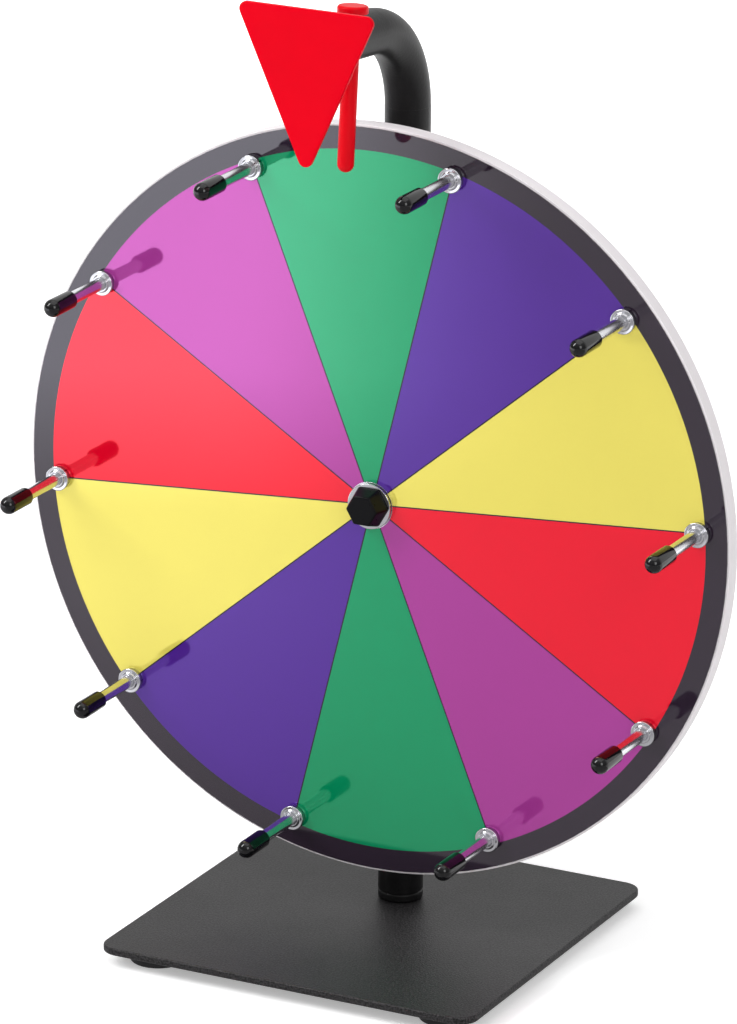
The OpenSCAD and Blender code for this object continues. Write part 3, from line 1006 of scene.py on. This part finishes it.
class PRIZEWHEEL_OT_peg_hardware(bpy.types.Operator):
    """Make the collars, lock washers, washers and nuts of the pegs"""
    bl_idname = "prize_wheel.peg_hardware"
    bl_label = "Peg hardware"

    def collars(self):
        front, back = depth_of("peg_collars")
        step = front + sizes().collar_step
        boss_top = 3.3 * MM
        boss_foot = 3.6 * MM
        foot_sink = 0.15 * MM
        foot_edge = 0.3 * MM
        bore_edge = 0.2 * MM
        rim = 5.0 * MM
        rim_edge = 0.36 * MM
        profile = outline([
            (PEG_BORE, front, bore_edge), (boss_top, front, sizes().collar_edge),
            (boss_foot, step + foot_sink, foot_edge), (rim, step, rim_edge), (rim, back, rim_edge),
            (PEG_BORE, back, 0.0)], steps=8)
        # The collars' chrome is painted darker, a painted shade.
        settle_ring("collars", turned(profile, sharp=60.0), collar_plate(), "chrome", "peg_collars")

    def lock_washers(self):
        front, back = depth_of("peg_lock_washers")
        outer = 4.6 * MM
        inset = 0.12 * MM
        gap = math.radians(7)
        rise = 0.2 * MM
        sprung = split_washer(PEG_BORE, outer, front + inset, back - inset, gap, rise)
        settle_ring("lock_washers", sprung, steel(), "steel", "peg_lock_washers", spin=math.tau, seed=3)

    def back_washers(self):
        front, back = depth_of("peg_back_washers")
        outer = 5.0 * MM
        flat = washer(PEG_BORE, outer, front, back, sizes().washer_edge, steps=56)
        settle_ring("back_washers", flat, steel(), "steel", "peg_back_washers")

    def nuts(self):
        front, back = depth_of("peg_nuts")
        flats = 8.0 * MM
        hexagon = nut(PEG_BORE, flats, front, back, steps=72)
        settle_ring("nuts", hexagon, steel(), "steel", "peg_nuts", spin=math.tau, seed=5)

    def execute(self, context):
        self.collars()
        self.lock_washers()
        self.back_washers()
        self.nuts()
        return {"FINISHED"}


class PRIZEWHEEL_OT_hub(bpy.types.Operator):
    """Make the hub cap and the washer behind it"""
    bl_idname = "prize_wheel.hub"
    bl_label = "Hub"

    def cap(self):
        front, back = depth_of("hub_cap")
        front_flats = 11.4 * MM
        back_flats = 15.2 * MM
        broad_face = 8.0 * MM * MM
        rows = []
        for flats, depth in ((back_flats, back), (front_flats, front)):
            reach = flats / 2 / math.cos(SIXTH / 2)
            rows.append([(reach * math.cos(k * SIXTH), reach * math.sin(k * SIXTH), depth) for k in range(6)])
        mesh = rings_mesh(rows)
        work = bmesh.new()
        work.from_mesh(mesh)
        bmesh.ops.bevel(work, geom=work.edges[:], offset=sizes().hub_edge, segments=4, profile=0.5,
                        affect="EDGES")
        work.to_mesh(mesh)
        work.free()
        mesh.shade_smooth()
        flatten(mesh, broad_face)
        settle("hub_cap_moulded", mesh, along_axle(), black_plastic(), "stand", "black_plastic", "hub_cap")

    def disc(self):
        front, back = depth_of("front_washer")
        rim = half_width("front_washer")
        edge = sizes().washer_edge
        profile = outline([(AXLE_BORE, front, 0.0), (rim, front, edge), (rim, back, edge),
                           (AXLE_BORE, back, 0.0)])
        # The washer's chrome is painted darker, a painted shade.
        settle("hub_washer", turned(profile, steps=128), along_axle(), hub_plate(), "stand", "chrome",
               "front_washer")

    def execute(self, context):
        self.cap()
        self.disc()
        return {"FINISHED"}


class PRIZEWHEEL_OT_axle(bpy.types.Operator):
    """Finish the axle and what clamps it to the post"""
    bl_idname = "prize_wheel.axle"
    bl_label = "Axle"

    def execute(self, context):
        paint(steel(), "axle_bolt", "rear_washer")
        paint(black_plastic(), "hub_spacer", "rear_saddle")
        front, back = depth_of("axle_nut")
        low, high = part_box("axle_nut")
        flats = min(high.x - low.x, high.z - low.z)
        collar_radius = 4.5 * MM
        collar_tall = 1.4 * MM
        mesh = nut(AXLE_BORE, flats, front, back, steps=120, collar=(collar_radius, collar_tall))
        settle("axle_nut_zinc", mesh, along_axle(), steel(), "stand", "steel", "axle_nut")
        return {"FINISHED"}


class PRIZEWHEEL_OT_bearings(bpy.types.Operator):
    """Finish the two ball bearings and make their balls"""
    bl_idname = "prize_wheel.bearings"
    bl_label = "Bearings"

    def execute(self, context):
        steps = 16
        arc = [math.pi * k / steps for k in range(steps + 1)]
        for end in ("front", "rear"):
            paint(chrome(), end + "_outer_race")
            paint(steel(), end + "_inner_race", end + "_cage")
            low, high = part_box(end + "_balls")
            radius = (high.y - low.y) / 2
            ball = turned([(radius * math.sin(a), -radius * math.cos(a)) for a in arc], steps=2 * steps)
            ring = grown(ball, ring_tree(), {
                "Count": BALLS,
                "Radius": high.x - axle_middle().x - radius,
                "First angle": 0.0,
                "Spin": 0.0,
                "Seed": 0,
                "Finish": chrome(),
            })
            settle(end + "_balls_polished", ring, along_axle((low.y + high.y) / 2), chrome(), "ball_ring",
                   "chrome", end + "_balls")
        return {"FINISHED"}


# Stage

WHITE = (1.0, 1.0, 1.0)
FLOOR_HALF = 6.0
CARD_HALF = 2.4
CARD_PLACE = (0.0, -2.3, CAD_BOX[0].z + 0.2 * MM)

LAMP_AIM = Vector((0.0, 0.0, 0.2))
# Each lamp's name, place, width, height and power
LAMPS = (
    ("top_panel", (0.1, 0.0, 2.2), 2.2, 2.2, 17.0),
    ("left_panel", (-1.31, -1.02, 1.64), 0.5, 1.25, 28.0),
    ("right_panel", (1.7, -1.5, 1.3), 1.0, 1.2, 16.0),
)

CAMERA_LENS = 237.32
CAMERA_SENSOR = 36.0
CAMERA_TARGET = Vector((-1.45, -4.5, 178.25)) * MM
CAMERA_DISTANCE = 2.62446
CAMERA_AROUND = math.radians(26.891)
CAMERA_ABOVE = math.radians(18.375)
CAMERA_ROLL = math.radians(0.444)


def flat_square(name, half, material):
    """A square of the stage, in the XY plane about the origin."""
    mesh = bpy.data.meshes.new(name)
    corners = [(-half, -half, 0), (half, -half, 0), (half, half, 0), (-half, half, 0)]
    mesh.from_pydata(corners, [], [(0, 1, 2, 3)])
    mesh.materials.append(material)
    piece = bpy.data.objects.new(name, mesh)
    bpy.context.scene.collection.objects.link(piece)
    return piece


def softbox(name, place, width, height, power):
    """A soft area lamp."""
    lamp = bpy.data.lights.new(name, "AREA")
    lamp.shape = "RECTANGLE"
    lamp.size = width
    lamp.size_y = height
    lamp.energy = power
    holder = bpy.data.objects.new(name, lamp)
    holder.location = place
    holder.rotation_euler = (LAMP_AIM - Vector(place)).to_track_quat("-Z", "Y").to_euler()
    holder.visible_camera = False
    bpy.context.scene.collection.objects.link(holder)


def pale_floor(t):
    """A white floor that takes shadows and grows paler further away."""
    dark, light = (0.93, 0.93, 0.93), (0.95, 0.95, 0.95)
    near_lift, far_lift = 0.36, 0.64
    lift_start = 0.7
    ray = t.add("ShaderNodeLightPath")
    paper = t.between(t.noise(t.place(), scale=40.0), dark, light)
    matt = t.add("ShaderNodeBsdfDiffuse", {}, {"Color": paper})
    seen = ray["Is Camera Ray"].most(ray["Is Glossy Ray"]).most(ray["Is Transmission Ray"])
    spot = t.split(t.place())
    away = ((spot["X"] * spot["X"] + spot["Y"] * spot["Y"]).root() - lift_start).clamped()
    lift = t.add("ShaderNodeEmission", {}, {"Color": WHITE, "Strength": seen * (near_lift + away * far_lift)})
    both = t.add("ShaderNodeAddShader", {}, {0: matt, 1: lift})
    t.add("ShaderNodeOutputMaterial", {}, {"Surface": both})


def grey_card(t):
    """A glowing card on the table that only mirrors show: a grey glow, with a painted reflection of a low
    lamp as a soft-edged glow.
    """
    glow_x, glow_y = -0.5, 1.47
    ahead_x, ahead_y = 0.414, 0.911
    side_blur = 0.1
    dim_start, dim_run, dim_share = 0.2, 0.22, 0.72
    fade_start, fade_run = 0.55, 0.3
    card_glow_level, reflection_glow_level = 0.6, 1.9
    card_glow_tint, reflection_glow_tint = (1.0, 0.985, 1.0), (0.97, 0.985, 1.08)
    spot = t.split(t.place())
    x = spot["X"] - glow_x
    y = spot["Y"] - glow_y
    along = x * ahead_x + y * ahead_y
    across = (x * ahead_y - y * ahead_x).most(0.0)
    dim = 1.0 - ((along - dim_start) / dim_run).clamped() * dim_share
    fade = 1.0 - ((along - fade_start) / fade_run).clamped()
    # Painted reflection: a soft-edged glow where a low lamp would show in mirrors.
    lamp = (across / side_blur).bell() * dim * fade
    light = t.add("ShaderNodeEmission", {}, {"Color": t.between(lamp, card_glow_tint, reflection_glow_tint),
                                             "Strength": card_glow_level + lamp * reflection_glow_level})
    t.add("ShaderNodeOutputMaterial", {}, {"Surface": light})


def studio_world():
    """White to the camera, brighter upwards and behind in mirrors, and an even light for all else."""
    even_level = 0.4
    mirror_level, mirror_rise, rise_power = 0.3, 0.5, 1.5
    behind_start, behind_run = 0.1, 0.5
    world = bpy.data.worlds.new("studio")
    world.use_nodes = True
    world.node_tree.nodes.clear()
    t = Tree(world.node_tree)
    ray = t.add("ShaderNodeLightPath")
    way = t.split(t.add("ShaderNodeTexCoord")["Generated"])
    behind = ((way["Y"] - behind_start) / behind_run).clamped()
    glow = (mirror_level + (way["Z"].most(0.0) ** rise_power) * mirror_rise).most(behind)
    seen = ray["Is Camera Ray"].most(ray["Is Transmission Ray"])
    mirrored = ray["Is Glossy Ray"]
    level = seen + (1.0 - seen) * (mirrored * glow + (1.0 - mirrored) * even_level)
    sky = t.add("ShaderNodeBackground", {}, {"Color": WHITE, "Strength": level})
    t.add("ShaderNodeOutputWorld", {}, {"Surface": sky})
    return world


def main_camera():
    """The camera of the main view, turned round its target and rolled a little."""
    camera = bpy.data.cameras.new("camera")
    camera.lens = CAMERA_LENS
    camera.sensor_width = CAMERA_SENSOR
    holder = bpy.data.objects.new("camera", camera)
    bpy.context.scene.collection.objects.link(holder)
    level = math.cos(CAMERA_ABOVE)
    back = Vector((math.sin(CAMERA_AROUND) * level, -math.cos(CAMERA_AROUND) * level, math.sin(CAMERA_ABOVE)))
    right = Vector((math.cos(CAMERA_AROUND), math.sin(CAMERA_AROUND), 0.0))
    up = back.cross(right)
    side = right * math.cos(CAMERA_ROLL) + up * math.sin(CAMERA_ROLL)
    top = up * math.cos(CAMERA_ROLL) - right * math.sin(CAMERA_ROLL)
    turn = Matrix((side, top, back)).transposed().to_4x4()
    holder.matrix_world = Matrix.Translation(CAMERA_TARGET + back * CAMERA_DISTANCE) @ turn
    return holder


class PRIZEWHEEL_OT_stage(bpy.types.Operator):
    """Make the floor, the glowing card that paints reflections, the lamps, the world and the camera"""
    bl_idname = "prize_wheel.stage"
    bl_label = "Stage"

    def execute(self, context):
        scene = context.scene
        scene.view_settings.view_transform = "Standard"
        floor = flat_square("floor", FLOOR_HALF, finish("pale_floor", pale_floor))
        floor.location.z = CAD_BOX[0].z
        # The card glows and paints reflections that only mirrors show.
        card = flat_square("grey_card", CARD_HALF, finish("grey_card", grey_card))
        card.location = CARD_PLACE
        for kind in ("camera", "diffuse", "transmission", "volume_scatter", "shadow"):
            setattr(card, "visible_" + kind, False)
        for lamp in LAMPS:
            softbox(*lamp)
        scene.world = studio_world()
        scene.camera = main_camera()
        return {"FINISHED"}


STEPS = (
    PRIZEWHEEL_OT_base,
    PRIZEWHEEL_OT_feet,
    PRIZEWHEEL_OT_post,
    PRIZEWHEEL_OT_pointer,
    PRIZEWHEEL_OT_clicker,
    PRIZEWHEEL_OT_board,
    PRIZEWHEEL_OT_print,
    PRIZEWHEEL_OT_pegs,
    PRIZEWHEEL_OT_caps,
    PRIZEWHEEL_OT_peg_hardware,
    PRIZEWHEEL_OT_hub,
    PRIZEWHEEL_OT_axle,
    PRIZEWHEEL_OT_bearings,
    PRIZEWHEEL_OT_stage,
)


class PRIZEWHEEL_PT_sidebar(bpy.types.Panel):
    """Sizes, colours and steps of the prize wheel"""
    bl_idname = "PRIZEWHEEL_PT_sidebar"
    bl_label = "Prize wheel"
    bl_space_type = "VIEW_3D"
    bl_region_type = "UI"
    bl_category = "Prize wheel"

    def draw(self, context):
        settings = context.scene.prize_wheel
        for group in (settings.sizes, settings.colours):
            box = self.layout.box()
            for key in group.__annotations__:
                box.prop(group, key)
        column = self.layout.column()
        for step in STEPS:
            column.operator(step.bl_idname)


CLASSES = (PrizeWheelSizes, PrizeWheelColours, PrizeWheelSettings, *STEPS, PRIZEWHEEL_PT_sidebar)


def register():
    for cls in CLASSES:
        bpy.utils.register_class(cls)
    bpy.types.Scene.prize_wheel = bpy.props.PointerProperty(type=PrizeWheelSettings)


def unregister():
    del bpy.types.Scene.prize_wheel
    for cls in reversed(CLASSES):
        bpy.utils.unregister_class(cls)


def main():
    register()
    for step in STEPS:
        group, name = step.bl_idname.split(".")
        getattr(getattr(bpy.ops, group), name)()


if __name__ == "__main__":
    main()
